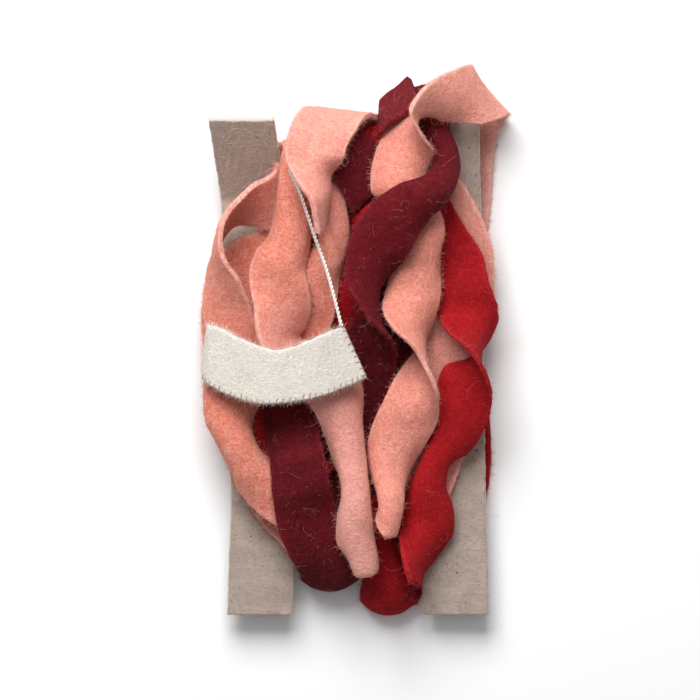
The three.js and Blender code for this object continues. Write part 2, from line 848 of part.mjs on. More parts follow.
const tab = new Strand(tabRings(), feltThickness / 2);
const ribbons = {
  pink_ribbon_low_left: [ribbon(pinkLowLeft), pink],
  pink_ribbon_far_left: [ribbon(pinkFarLeft), pink],
  pink_ribbon_centre_left: [ribbon(pinkCentreLeft), pink],
  pink_ribbon_top_left: [ribbon(pinkTopLeft), pink],
  pink_ribbon_middle: [ribbon(pinkMiddle), pink],
  pink_ribbon_right: [ribbon(pinkRight), pink],
  pink_ribbon_behind: [ribbon(pinkBehind), pink],
  burgundy_ribbon_behind: [ribbon(burgundyBehind), burgundy],
  burgundy_ribbon_under: [ribbon(burgundyUnder), burgundy],
  burgundy_ribbon_centre: [ribbon(burgundyCentre), burgundy],
  burgundy_ribbon_hook: [ribbon(burgundyHook), burgundy],
  burgundy_ribbon_middle: [ribbon(burgundyMiddle), burgundy],
  burgundy_ribbon_end: [ribbon(burgundyEnd), burgundy],
  red_ribbon_middle: [ribbon(redMiddle), red],
  red_ribbon_low: [ribbon(redLow), red],
  red_ribbon_right: [ribbon(redRight), red],
  red_ribbon_behind: [ribbon(redBehind), red],
  cream_tab: [tab, cream],
};
settle([...Object.values(ribbons).map(([strand]) => strand), ...boardStrands()]);
for (const move of tab.moves) move.z -= tabDrawnDown;

add("card_winder", winder(), board);
for (const [name, [strand, material]] of Object.entries(ribbons)) {
  const rings = strand.rings.map((ring, i) => ring.map((p) => p.clone().add(strand.moves[i])));
  add(name, loft(rings), material);
}

add("twisted_string", stringTube(), cotton);

// The object's origin is the middle of its underside.
const bounds = new THREE.Box3().setFromObject(garland);
const centre = bounds.getCenter(new THREE.Vector3());
for (const { geometry } of garland.children) geometry.translate(-centre.x, -centre.y, -bounds.min.z);

export default garland;
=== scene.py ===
# A garland of twisted felt ribbons on a grey card winder, seen from straight above.
# Metres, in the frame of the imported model: +Z up from the table, +Y to the garland's top end.
import math
import random

import bmesh
import bpy
import numpy as np
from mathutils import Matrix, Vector, noise


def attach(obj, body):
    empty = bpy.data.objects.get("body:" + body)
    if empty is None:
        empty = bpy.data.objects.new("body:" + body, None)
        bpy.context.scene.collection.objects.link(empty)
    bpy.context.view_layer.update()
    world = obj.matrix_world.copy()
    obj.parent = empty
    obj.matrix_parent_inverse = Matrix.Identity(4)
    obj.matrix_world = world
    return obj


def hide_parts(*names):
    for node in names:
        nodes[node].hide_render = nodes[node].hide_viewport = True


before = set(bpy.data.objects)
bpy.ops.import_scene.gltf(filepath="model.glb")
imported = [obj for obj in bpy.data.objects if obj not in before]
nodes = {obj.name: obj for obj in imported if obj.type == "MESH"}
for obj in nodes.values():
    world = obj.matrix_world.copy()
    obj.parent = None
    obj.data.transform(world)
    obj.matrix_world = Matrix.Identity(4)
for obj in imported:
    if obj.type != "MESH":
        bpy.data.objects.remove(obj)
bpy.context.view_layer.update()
mm = 0.001


def say(text):
    print("scene:", text)


def newObject(name, mesh):
    shown = bpy.data.objects.new(name, mesh)
    bpy.context.scene.collection.objects.link(shown)
    return shown


# Camera
camera = {
    "middle": (-0.00244, -0.0052),  # what the middle of the picture shows
    "height": 1.2,
    "width": 0.35,  # of the table that the picture takes in
    "farthest": 10,
}


def makeCamera(spec):
    data = bpy.data.cameras.new("photoCamera")
    data.type = "ORTHO"
    data.ortho_scale = spec["width"]
    data.clip_end = spec["farthest"]
    eye = bpy.data.objects.new("photoCamera", data)
    eye.location = (*spec["middle"], spec["height"])
    bpy.context.scene.collection.objects.link(eye)
    bpy.context.scene.camera = eye


makeCamera(camera)


# Node trees: a short way to place nodes and join them
class NodeDesk:
    def __init__(self, tree):
        self.tree = tree

    def place(self, kind, values=None, **settings):
        node = self.tree.nodes.new(kind)
        for name, value in settings.items():
            setattr(node, name, value)
        for name, value in (values or {}).items():
            self.feed(node.inputs[name], value)
        return node

    def feed(self, socket, value):
        if isinstance(value, bpy.types.NodeSocket):
            self.tree.links.new(value, socket)
        else:
            socket.default_value = value

    def math(self, operation, a, b=0.0):
        node = self.place("ShaderNodeMath", operation=operation)
        self.feed(node.inputs[0], a)
        self.feed(node.inputs[1], b)
        return node.outputs[0]

    # A Mix node's colours are its sockets 6 and 7, and its third output
    def mix(self, share, a, b):
        node = self.place("ShaderNodeMix", data_type="RGBA")
        self.feed(node.inputs[0], share)
        self.feed(node.inputs[6], a)
        self.feed(node.inputs[7], b)
        return node.outputs[2]

    # Lays a tint over a colour where the mask shows, by no more than the share
    def lay(self, colour, mask, share, tint):
        return self.mix(self.math("MULTIPLY", mask, share), colour, tint)

    def spread(self, value, low, high, to=(0.0, 1.0)):
        node = self.place("ShaderNodeMapRange", clamp=True)
        for socket, number in zip(node.inputs, (value, low, high, *to)):
            self.feed(socket, number)
        return node.outputs[0]

    def noise(self, where, scale, detail=3.0, roughness=0.55, distortion=0.0):
        node = self.place("ShaderNodeTexNoise", {
            "Vector": where, "Scale": scale, "Detail": detail,
            "Roughness": roughness, "Distortion": distortion,
        })
        return node.outputs["Fac"]


def newGroup(name, inputs, outputs):
    tree = bpy.data.node_groups.new(name, "ShaderNodeTree")
    for label, kind, value in inputs:
        socket = tree.interface.new_socket(label, in_out="INPUT", socket_type=kind)
        if value is not None:
            socket.default_value = value
    for label, kind in outputs:
        tree.interface.new_socket(label, in_out="OUTPUT", socket_type=kind)
    desk = NodeDesk(tree)
    return desk, desk.place("NodeGroupInput").outputs, desk.place("NodeGroupOutput").inputs


# Fibres lying every way in a mat: noise drawn out long in turned directions
fibres = {
    "turns": [(0.3, 0.2, 0.1), (0.9, -0.5, 1.2), (-0.7, 0.8, 2.2), (0.2, 1.3, -0.9)],
    "thin": (0.52, 0.78),  # the noise's values between which a fibre comes up
    "cloudScale": 0.22,  # of the fibres' own
    "clouds": (0.32, 0.68),
    "cloudHeight": 0.6,
}


def fibreMatGroup(spec):
    desk, given, out = newGroup(
        "fibreMat",
        [("Fibre Scale", "NodeSocketFloat", 900.0), ("Length", "NodeSocketFloat", 7.0)],
        [("Streaks", "NodeSocketFloat"), ("Clouds", "NodeSocketFloat"), ("Height", "NodeSocketFloat")],
    )
    where = desk.place("ShaderNodeTexCoord").outputs["Object"]
    layers = []
    for turn in spec["turns"]:
        turned = desk.place("ShaderNodeMapping", {"Vector": where, "Rotation": turn}).outputs[0]
        wave = desk.place("ShaderNodeVectorMath", operation="DIVIDE")
        desk.feed(wave.inputs[0], turned)
        stretch = desk.place("ShaderNodeCombineXYZ", {"X": given["Length"], "Y": 1.0, "Z": 1.0})
        desk.feed(wave.inputs[1], stretch.outputs[0])
        layers.append(desk.noise(wave.outputs[0], given["Fibre Scale"], 2.0, 0.6, 0.6))
    streaks = desk.math("MAXIMUM", desk.math("MAXIMUM", layers[0], layers[1]),
                        desk.math("MAXIMUM", layers[2], layers[3]))
    streaks = desk.spread(streaks, *spec["thin"])
    coarse = desk.noise(where, desk.math("MULTIPLY", given["Fibre Scale"], spec["cloudScale"]), 4.0, 0.6, 0.8)
    clouds = desk.spread(coarse, *spec["clouds"])
    desk.feed(out["Streaks"], streaks)
    desk.feed(out["Clouds"], clouds)
    desk.feed(out["Height"], desk.math("ADD", streaks, desk.math("MULTIPLY", clouds, spec["cloudHeight"])))
    return desk.tree


# Small spots that each take up part of a cell, where the cell's own chance lets one be
speckEdge = {"scale": 700.0, "reach": 1.2 * mm}  # how their outlines wobble


def specksGroup(spec):
    desk, given, out = newGroup(
        "specks",
        [
            ("Speck Scale", "NodeSocketFloat", 300.0),
            ("Size", "NodeSocketFloat", 0.25),
            ("Share", "NodeSocketFloat", 0.2),
            ("Offset", "NodeSocketFloat", 0.0),
        ],
        [("Mask", "NodeSocketFloat"), ("Chance", "NodeSocketFloat")],
    )
    where = desk.place("ShaderNodeTexCoord").outputs["Object"]
    moved = desk.place("ShaderNodeVectorMath", operation="ADD")
    desk.feed(moved.inputs[0], where)
    desk.feed(moved.inputs[1], given["Offset"])
    bent = desk.place("ShaderNodeTexNoise", {"Vector": moved.outputs[0], "Scale": spec["scale"]})
    wobble = desk.place("ShaderNodeVectorMath", operation="SCALE")
    desk.feed(wobble.inputs[0], bent.outputs["Color"])
    wobble.inputs["Scale"].default_value = spec["reach"]
    place = desk.place("ShaderNodeVectorMath", operation="ADD")
    desk.feed(place.inputs[0], moved.outputs[0])
    desk.feed(place.inputs[1], wobble.outputs[0])
    cells = desk.place("ShaderNodeTexVoronoi", {
        "Vector": place.outputs[0], "Scale": given["Speck Scale"], "Randomness": 1.0,
    })
    chance = desk.place("ShaderNodeSeparateColor", {"Color": cells.outputs["Color"]})
    near = desk.math("LESS_THAN", cells.outputs["Distance"], given["Size"])
    kept = desk.math("LESS_THAN", chance.outputs["Red"], given["Share"])
    desk.feed(out["Mask"], desk.math("MULTIPLY", near, kept))
    desk.feed(out["Chance"], chance.outputs["Green"])
    return desk.tree


fibreMat = fibreMatGroup(fibres)
specks = specksGroup(speckEdge)


def newMaterial(name):
    material = bpy.data.materials.new(name)
    material.use_nodes = True
    shader = material.node_tree.nodes["Principled BSDF"]
    return material, NodeDesk(material.node_tree), shader


def useGroup(desk, tree, values):
    node = desk.place("ShaderNodeGroup", node_tree=tree)
    for name, value in values.items():
        desk.feed(node.inputs[name], value)
    return node.outputs


def bumpOf(desk, height, distance, strength):
    node = desk.place("ShaderNodeBump", {"Height": height, "Distance": distance, "Strength": strength})
    return node.outputs["Normal"]


# The string: two plies laid round each other, from the top left ribbon's edge to the tab's corner
twine = {
    "diameter": 2 * mm,
    "ply": 1.08 * mm,  # thickness of each of its two strands
    "lay": 4.4 * mm,  # length of one turn of the strands
    "sides": 10,
    "stepsPerTurn": 14,
    "colour": (0.97, 0.93, 0.88, 1),
    "cloudAndGrooveShade": (0.62, 0.52, 0.43, 1),
    "route": [
        (-0.0329, 0.0853, 0.0502),
        (-0.0312, 0.0813, 0.0505),
        (-0.0279, 0.0743, 0.0508),
        (-0.0242, 0.0638, 0.0509),
        (-0.0204, 0.0523, 0.0512),
        (-0.0142, 0.0348, 0.0520),
        (-0.0094, 0.0173, 0.0520),
        (-0.0068, 0.0068, 0.0513),
    ],
}


def between(rows, place):
    at = min(int(place), len(rows) - 2)
    t = place - at
    a = rows[max(at - 1, 0)]
    b = rows[at]
    c = rows[at + 1]
    d = rows[min(at + 2, len(rows) - 1)]
    return (
        b * (2 - 5 * t * t + 3 * t ** 3)
        + c * (t + 4 * t * t - 3 * t ** 3)
        + a * (-t + 2 * t * t - t ** 3)
        + d * (t ** 3 - t * t)
    ) / 2


# Points an even step apart on a smooth line through a few points
def evenLine(points, step):
    rows = [Vector(p) for p in points]
    pieces = 40  # from one given point to the next
    fine = [between(rows, i / pieces) for i in range(pieces * (len(rows) - 1) + 1)]
    along = [0.0]
    for a, b in zip(fine, fine[1:]):
        along.append(along[-1] + (b - a).length)
    count = max(2, round(along[-1] / step))
    line = []
    at = 0
    for k in range(count + 1):
        goal = along[-1] * k / count
        while at < len(fine) - 2 and along[at + 1] < goal:
            at += 1
        span = along[at + 1] - along[at]
        share = 0 if span == 0 else (goal - along[at]) / span
        line.append(fine[at].lerp(fine[at + 1], share))
    return line, along[-1]


def framesAlong(line, side):
    frames = []
    for i, point in enumerate(line):
        ahead = (line[min(i + 1, len(line) - 1)] - line[max(i - 1, 0)]).normalized()
        side = (side - ahead * side.dot(ahead)).normalized()
        frames.append((point, side, ahead.cross(side)))
    return frames


# A closed tube of rings, each ring a list of points
def addTube(mesh, rings):
    made = [[mesh.verts.new(p) for p in ring] for ring in rings]
    count = len(made[0])
    for a, b in zip(made, made[1:]):
        for k in range(count):
            mesh.faces.new((a[k], a[(k + 1) % count], b[(k + 1) % count], b[k]))
    mesh.faces.new(list(reversed(made[0])))
    mesh.faces.new(made[-1])


def meshFrom(mesh, name):
    bmesh.ops.recalc_face_normals(mesh, faces=mesh.faces)
    data = bpy.data.meshes.new(name)
    mesh.to_mesh(data)
    mesh.free()
    for face in data.polygons:
        face.use_smooth = True
    return data


# Cotton: yarn lying in fine threads, with painted shade down in the grooves, where the surface is hollow
cotton = {
    "mat": {"Fibre Scale": 2600.0, "Length": 6.0},
    "paleFibre": (0.95, 0.92, 0.86, 1),
    "fibreShare": 0.2,
    "cloudShare": 0.25,
    "grooveShadeShare": 0.8,
    "grooveShadeFrom": (0.36, 0.5),  # pointiness from the bottom of the grooves to out of them, for the painted shade
    "rough": (0.95, 0.75),
    "bump": 0.12 * mm,
    "bumpStrength": 0.7,
    "sheen": 0.25,
    "sheenRough": 0.6,
    "specular": 0.2,
}


def cottonMaterial(name, colour, cloudAndGrooveShade, spec):
    material, desk, shader = newMaterial(name)
    mat = useGroup(desk, fibreMat, spec["mat"])
    hollow = desk.place("ShaderNodeNewGeometry").outputs["Pointiness"]
    grooveShade = desk.spread(hollow, *spec["grooveShadeFrom"], (1.0, 0.0))
    tint = desk.lay(colour, mat["Streaks"], spec["fibreShare"], spec["paleFibre"])
    tint = desk.lay(tint, mat["Clouds"], spec["cloudShare"], cloudAndGrooveShade)
    # Painted shade: darker where pointiness is low, down in the grooves
    desk.feed(shader.inputs["Base Color"], desk.lay(tint, grooveShade, spec["grooveShadeShare"], cloudAndGrooveShade))
    desk.feed(shader.inputs["Roughness"], desk.spread(mat["Streaks"], 0, 1, spec["rough"]))
    desk.feed(shader.inputs["Normal"], bumpOf(desk, mat["Height"], spec["bump"], spec["bumpStrength"]))
    shader.inputs["Sheen Weight"].default_value = spec["sheen"]
    shader.inputs["Sheen Roughness"].default_value = spec["sheenRough"]
    shader.inputs["Specular IOR Level"].default_value = spec["specular"]
    return material


def makeString(spec, material):
    step = spec["lay"] / spec["stepsPerTurn"]
    line, length = evenLine(spec["route"], step)
    frames = framesAlong(line, Vector((0, 0, 1)))
    mesh = bmesh.new()
    radius = spec["ply"] / 2
    off = (spec["diameter"] - spec["ply"]) / 2
    for ply in range(2):
        rings = []
        for i, (point, side, up) in enumerate(frames):
            turn = 2 * math.pi * (i / spec["stepsPerTurn"] + ply / 2)
            centre = point + (side * math.cos(turn) + up * math.sin(turn)) * off
            ring = []
            for k in range(spec["sides"]):
                angle = 2 * math.pi * k / spec["sides"]
                ring.append(centre + (side * math.cos(angle) + up * math.sin(angle)) * radius)
            rings.append(ring)
        addTube(mesh, rings)
    piece = newObject("string_twisted", meshFrom(mesh, "string_twisted"))
    piece.data.materials.append(material)
    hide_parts("twisted_string")
    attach(piece, "root")
    say(f"string: {length / mm:.0f} mm")
    return piece


makeString(twine, cottonMaterial("cottonString", twine["colour"], twine["cloudAndGrooveShade"], cotton))


# Felt
felt = {
    "width": 30 * mm,
    "thickness": 3 * mm,
    "columns": 14,  # faces across a ribbon
    "alongStep": 1.9 * mm,
    "rimRound": 0.8 * mm,
    "rimHighlight": 2.6 * mm,  # how far in the painted highlight along the cut edge reaches
    "rimWander": 0.5 * mm,  # how unevenly the edges are cut
    "faceWander": 0.4 * mm,
    "wanderLength": 8 * mm,
    "rimReach": 3 * mm,  # how far in from the edge the uneven cut moves the felt
    "aboveTable": 0.02 * mm,
}

# The felts' colours: the mat, its light and dark fibres, the cut edge's painted highlight, and the two tones
# it drifts between, for its dye and for painted shade.
# fuzz and curls: short and long stray fibres on each mm of ribbon
feltColours = {
    "pink": {
        "base": (0.82, 0.245, 0.175, 1),
        "light": (0.97, 0.51, 0.41, 1),
        "dark": (0.46, 0.085, 0.06, 1),
        "edge": (0.97, 0.56, 0.48, 1),
        "warm": (0.77, 0.165, 0.08, 1),
        "cool": (0.99, 0.54, 0.50, 1),
        "hair": (0.98, 0.74, 0.66, 1),
        "fuzz": 15.0,
        "curls": 0.3,
        "sheen": 0.35,
    },
    "burgundy": {
        "base": (0.095, 0.0045, 0.007, 1),
        "light": (0.24, 0.013, 0.021, 1),
        "dark": (0.026, 0.003, 0.005, 1),
        "edge": (0.27, 0.015, 0.026, 1),
        "warm": (0.16, 0.005, 0.010, 1),
        "cool": (0.018, 0.003, 0.005, 1),
        "hair": (0.55, 0.22, 0.22, 1),
        "fuzz": 9.0,
        "curls": 1.3,
        "sheen": 0.06,
    },
    "red": {
        "base": (0.33, 0.006, 0.009, 1),
        "light": (0.55, 0.016, 0.020, 1),
        "dark": (0.13, 0.004, 0.007, 1),
        "edge": (0.55, 0.025, 0.032, 1),
        "warm": (0.44, 0.008, 0.011, 1),
        "cool": (0.22, 0.004, 0.009, 1),
        "hair": (0.70, 0.17, 0.14, 1),
        "fuzz": 9.0,
        "curls": 0.35,
        "sheen": 0.1,
    },
    "cream": {
        "base": (0.73, 0.675, 0.605, 1),
        "light": (0.92, 0.88, 0.82, 1),
        "dark": (0.56, 0.48, 0.40, 1),
        "edge": (0.90, 0.86, 0.80, 1),
        "warm": (0.74, 0.68, 0.60, 1),
        "cool": (0.72, 0.68, 0.63, 1),
        "hair": (0.92, 0.89, 0.84, 1),
        "fuzz": 22.0,
        "curls": 0.5,
        "sheen": 0.15,
    },
}

# How warm and how dark each ribbon looks from its upper end to its lower one, from its dye and from painted
# shade where it lies in shadow: share of its length, warmth
dyeAndShadeDrift = {
    "pink_ribbon_right": [(0, 0.3), (0.2, 0.0), (0.33, 0.0), (0.4, 0.5), (0.55, 0.7), (0.7, 0.8), (1, 0.6)],
    "pink_ribbon_centre_left": [(0, 0.6), (0.35, 0.7), (0.45, 1), (0.62, 0.9), (0.72, 0.3), (1, 0.1)],
    "pink_ribbon_far_left": [(0, 0.8), (0.3, 0.9), (0.7, 1), (1, 0.8)],
    "pink_ribbon_low_left": [(0, 1), (1, 0.8)],
    "pink_ribbon_middle": [(0, 0.6), (1, 1)],
    "pink_ribbon_top_left": [(0, 0.6), (0.4, 0.45), (1, 0.5)],
    "burgundy_ribbon_hook": [(0, 0.2), (0.3, 0.6), (0.6, 0.9), (0.7, 0.2), (1, 0.0)],
    "burgundy_ribbon_centre": [(0, 0.4), (0.4, 0.6), (0.7, 0.2), (1, 0.0)],
    "burgundy_ribbon_end": [(0, 1), (1, 1)],
    "red_ribbon_right": [(0, 0.2), (0.35, 0.7), (0.6, 0.7), (1, 0.6)],
    "red_ribbon_middle": [(0, 0.3), (0.5, 0.8), (1, 0.6)],
    "red_ribbon_low": [(0, 0.2), (1, 0.2)],
}
plainDrift = [(0, 0.4), (1, 0.5)]  # of the ribbons not listed


# How strongly each layer shows in the felt's colour, and how its surface stands up
feltLook = {
    "fineMat": {"Fibre Scale": 1000.0, "Length": 8.0},
    "broadMat": {"Fibre Scale": 330.0, "Length": 3.5},
    "drift": 0.75,
    "patches": 0.22,
    "clouds": 0.30,
    "broadFibres": 0.45,
    "fineFibres": 0.7,
    "pits": 0.36,
    "raggedEdgeHighlight": 0.75,
    "rough": (1.0, 0.82),
    "fineHeight": 0.7,
    "napHeight": 1.8,
    "broadHeight": 0.35,
    "bump": 0.38 * mm,
    "bumpStrength": 0.9,
    "sheenRough": 0.55,
    "specular": 0.15,
}


def feltMaterial(name, spec, look):
    material, desk, shader = newMaterial(name)
    mat = useGroup(desk, fibreMat, look["fineMat"])
    broad = useGroup(desk, fibreMat, look["broadMat"])
    where = desk.place("ShaderNodeTexCoord").outputs["Object"]
    tone = desk.place("ShaderNodeAttribute", attribute_name="tone").outputs["Fac"]
    rim = desk.place("ShaderNodeAttribute", attribute_name="rim").outputs["Fac"]
    # Partly painted shade: the drift between cool and warm also darkens ribbons lying in shadow, beside their
    # real dye
    drift = desk.mix(tone, spec["cool"], spec["warm"])
    colour = desk.mix(look["drift"], spec["base"], drift)
    patches = desk.spread(desk.noise(where, 90.0, 5.0, 0.75, 0.6), 0.35, 0.65)
    colour = desk.lay(colour, patches, look["patches"], spec["dark"])
    colour = desk.lay(colour, broad["Clouds"], look["clouds"], spec["dark"])
    colour = desk.lay(colour, broad["Streaks"], look["broadFibres"], spec["light"])
    colour = desk.lay(colour, mat["Streaks"], look["fineFibres"], spec["light"])
    pits = desk.spread(desk.noise(where, 850.0, 3.0, 0.7), 0.38, 0.52, (1.0, 0.0))
    colour = desk.lay(colour, pits, look["pits"], spec["dark"])
    # Painted highlight: the lighter edge colour laid unevenly over the cut edges, where fibres catch the
    # light
    edgeHighlight = desk.math("MULTIPLY", rim, desk.spread(desk.noise(where, 420.0, 3.0), 0.3, 0.62))
    desk.feed(shader.inputs["Base Color"], desk.lay(colour, edgeHighlight, look["raggedEdgeHighlight"], spec["edge"]))
    desk.feed(shader.inputs["Roughness"], desk.spread(mat["Streaks"], 0, 1, look["rough"]))
    nap = desk.math("MULTIPLY", desk.noise(where, 900.0, 5.0, 0.7, 0.4), look["napHeight"])
    height = desk.math("ADD", desk.math("MULTIPLY", mat["Height"], look["fineHeight"]), nap)
    height = desk.math("ADD", height, desk.math("MULTIPLY", broad["Height"], look["broadHeight"]))
    desk.feed(shader.inputs["Normal"], bumpOf(desk, height, look["bump"], look["bumpStrength"]))
    shader.inputs["Sheen Weight"].default_value = spec["sheen"]
    shader.inputs["Sheen Roughness"].default_value = look["sheenRough"]
    shader.inputs["Sheen Tint"].default_value = spec["light"]
    shader.inputs["Specular IOR Level"].default_value = look["specular"]
    return material


# Single fibres: some dull, some bright, from one spot to the next
hairLook = {"scale": 260.0, "brightFrom": (0.38, 0.62), "rough": (0.9, 0.6), "sheen": 0.4}


def hairMaterial(name, dull, bright, look):
    material, desk, shader = newMaterial(name)
    where = desk.place("ShaderNodeTexCoord").outputs["Object"]
    share = desk.spread(desk.noise(where, look["scale"], 2.0), *look["brightFrom"])
    desk.feed(shader.inputs["Base Color"], desk.mix(share, dull, bright))
    desk.feed(shader.inputs["Roughness"], desk.spread(share, 0, 1, look["rough"]))
    shader.inputs["Sheen Weight"].default_value = look["sheen"]
    return material


# Ribbons: the CAD strip's corners are put in order, ring by ring, and a finer strip is laid over them
ringCorners = 10
faceCorners = ringCorners // 2  # along each of the strip's two faces
endFacets = 2 * (faceCorners - 1)  # triangles over a strip's end
sameFacing = 0.9995  # of two facets' normals in one flat end
weldGap = 0.002 * mm


# An end's facets. At two of an end's corners five edges meet, and at two more four do
def capOf(start):
    for first in start.link_faces:
        cap = {first}
        front = [first]
        while front:
            face = front.pop()
            for edge in face.edges:
                for other in edge.link_faces:
                    if other not in cap and other.normal.dot(first.normal) > sameFacing:
                        cap.add(other)
                        front.append(other)
        corners = {v for face in cap for v in face.verts}
        fives = [v for v in corners if len(v.link_edges) == 5]
        fours = [v for v in corners if len(v.link_edges) == 4]
        sized = len(cap) == endFacets and len(corners) == ringCorners
        if sized and len(fives) == 2 and len(fours) == 2:
            return cap
    return None


def ringAround(cap, first):
    rim = [edge for face in cap for edge in face.edges if sum(f in cap for f in edge.link_faces) == 1]
    ring = [first]
    last = None
    while True:
        for edge in ring[-1].link_edges:
            if edge in rim:
                other = edge.other_vert(ring[-1])
                if other is not last and (other is not first or len(ring) == ringCorners):
                    break
        last = ring[-1]
        if other is first:
            return ring
        ring.append(other)


# Each ring has ten corners: five along one face, then five back along the other.
# The last ring is the one nearer the garland's lower end
def ringsOf(node):
    mesh = bmesh.new()
    mesh.from_mesh(node.data)
    bmesh.ops.remove_doubles(mesh, verts=mesh.verts, dist=weldGap)
    mesh.normal_update()
    ends = [v for v in mesh.verts if len(v.link_edges) == 4]
    cap = next(found for found in map(capOf, ends) if found)
    start = next(v for v in mesh.verts if len(v.link_edges) == 5 and any(f in cap for f in v.link_faces))
    ring = ringAround(cap, start)
    if len(ring[-1].link_edges) != 4:
        ring = [ring[0]] + ring[:0:-1]
    used = set(cap)
    rings = [ring]
    while len(rings) * ringCorners < len(mesh.verts):
        ring = rings[-1]
        ahead = []
        for k in range(ringCorners):
            beside = ring[(k + 1) % ringCorners]
            edge = next(e for e in ring[k].link_edges if e.other_vert(ring[k]) is beside)
            face = next(f for f in edge.link_faces if f not in used)
            used.add(face)
            ahead.append(next(v for v in face.verts if v not in edge.verts))
        reaches = []
        for shift in (0, 1):
            reach = sum((ahead[k - shift].co - ring[k].co).length for k in range(ringCorners))
            reaches.append((reach, shift))
        shift = min(reaches)[1]
        ring = [ahead[k - shift] for k in range(ringCorners)]
        for a in ring:
            for face in a.link_faces:
                if all(v in ring or v in rings[-1] for v in face.verts):
                    used.add(face)
        rings.append(ring)
    found = np.array([[tuple(v.co) for v in ring] for ring in rings])
    mesh.free()
    return found if found[0, :, 1].mean() > found[-1, :, 1].mean() else found[::-1, ::-1]


# Shares of the old rows in each new place, for a smooth line through them
def blendTable(count, places):
    table = np.zeros((len(places), count))
    for row, place in enumerate(places):
        at = min(int(place), count - 2)
        t = place - at
        weights = (
            (at - 1, -t + 2 * t * t - t ** 3),
            (at, 2 - 5 * t * t + 3 * t ** 3),
            (at + 1, t + 4 * t * t - 3 * t ** 3),
            (at + 2, t ** 3 - t * t),
        )
        for k, weight in weights:
            table[row, min(max(k, 0), count - 1)] += weight / 2
    return table


# The outline of a cut strip's section: how far in from the edge in units of the rim's rounding,
# and how far up from the strip's middle in half thicknesses
rimSteps = [(0.3, 0.86), (0, 0.45), (0, -0.45), (0.3, -0.86)]


def profileOf(spec):
    inset = spec["rimRound"] / spec["width"]
    columns = spec["columns"]
    face = [inset + (1 - 2 * inset) * k / columns for k in range(columns + 1)]
    outline = [(u, 1.0) for u in face]
    outline += [(1 - inset * x, h) for x, h in rimSteps]
    outline += [(u, -1.0) for u in reversed(face)]
    outline += [(inset * x, -h) for x, h in rimSteps]
    return outline


def wander(points, length, seed):
    return np.array([noise.noise(Vector(p) / length + Vector((seed, 0, 0))) for p in points])


# Lower ends that lie bunched up: how long the drawn-in part is and how narrow it gets
bunchedEnds = {
    "pink_ribbon_right": (40 * mm, 0.42),
    "pink_ribbon_centre_left": (10 * mm, 0.62),
    "red_ribbon_right": (12 * mm, 0.6),
}


# Draws the middles of the last stations in towards their own centre, with a rounded end
def bunch(centres, reach, narrowest, length):
    steps = len(centres) - 1
    for s in range(len(centres)):
        left = (steps - s) / steps * length / reach
        if left < 1:
            share = narrowest + (1 - narrowest) * math.sqrt(1 - (1 - left) ** 2)
            heart = centres[s].mean(axis=0)
            centres[s] = heart + (centres[s] - heart) * share


# Puts a finely divided strip over the CAD rings. Gives its points, station by station
def fineStrip(rings, spec, seed, bunched):
    top = rings[:, :faceCorners]
    low = rings[:, :faceCorners - 1:-1]
    middle = (top + low) / 2
    upright = top - low
    upright /= np.linalg.norm(upright, axis=2, keepdims=True)
    length = np.linalg.norm(np.diff(middle[:, 2], axis=0), axis=1).sum()
    stations = max(2, round(length / spec["alongStep"]))
    along = blendTable(len(rings), np.linspace(0, len(rings) - 1, stations + 1))
    outline = profileOf(spec)
    across = blendTable(faceCorners, [(faceCorners - 1) * u for u, _ in outline])
    centres = np.einsum("sr,rkx,pk->spx", along, middle, across)
    if bunched:
        bunch(centres, *bunched, length)
    ups = np.einsum("sr,rkx,pk->spx", along, upright, across)
    ups /= np.linalg.norm(ups, axis=2, keepdims=True)
    heights = np.array([h for _, h in outline])
    half = spec["thickness"] / 2
    points = centres + ups * (heights * half)[None, :, None]
    outward = np.einsum("sr,rx->sx", along, middle[:, -1] - middle[:, 0])
    outward /= np.linalg.norm(outward, axis=1, keepdims=True)
    shape = points.shape
    ripple = wander(centres.reshape(-1, 3), spec["wanderLength"], seed).reshape(shape[:2])
    points += ups * (ripple * spec["faceWander"])[:, :, None]
    edges = np.array([2 * u - 1 for u, _ in outline])
    fromEdge = (1 - np.abs(edges)) * spec["width"] / 2
    nearEdge = np.clip(1 - fromEdge / spec["rimReach"], 0, 1)
    cuts = []
    for side, noiseSeed in ((0, seed + 7), (1, seed + 8)):
        rimLine = centres[:, [u for u, _ in outline].index(side)]
        cuts.append(wander(rimLine, spec["wanderLength"] / 2, noiseSeed))
    shift = np.where(edges[None, :] < 0, -cuts[0][:, None], cuts[1][:, None])
    points += outward[:, None, :] * (shift * nearEdge[None, :] * spec["rimWander"])[:, :, None]
    points[:, :, 2] = np.maximum(points[:, :, 2], spec["aboveTable"])
    # Where the cut edge's painted highlight shows: all of the cut side, fading in over the faces near it
    rim = np.clip(1 - fromEdge / spec["rimHighlight"], 0, 1)
    rim = np.tile(np.where(np.abs(heights) < 1, 1, rim), (shape[0], 1))
    return points, rim, ups * np.sign(heights)[None, :, None], outward, length


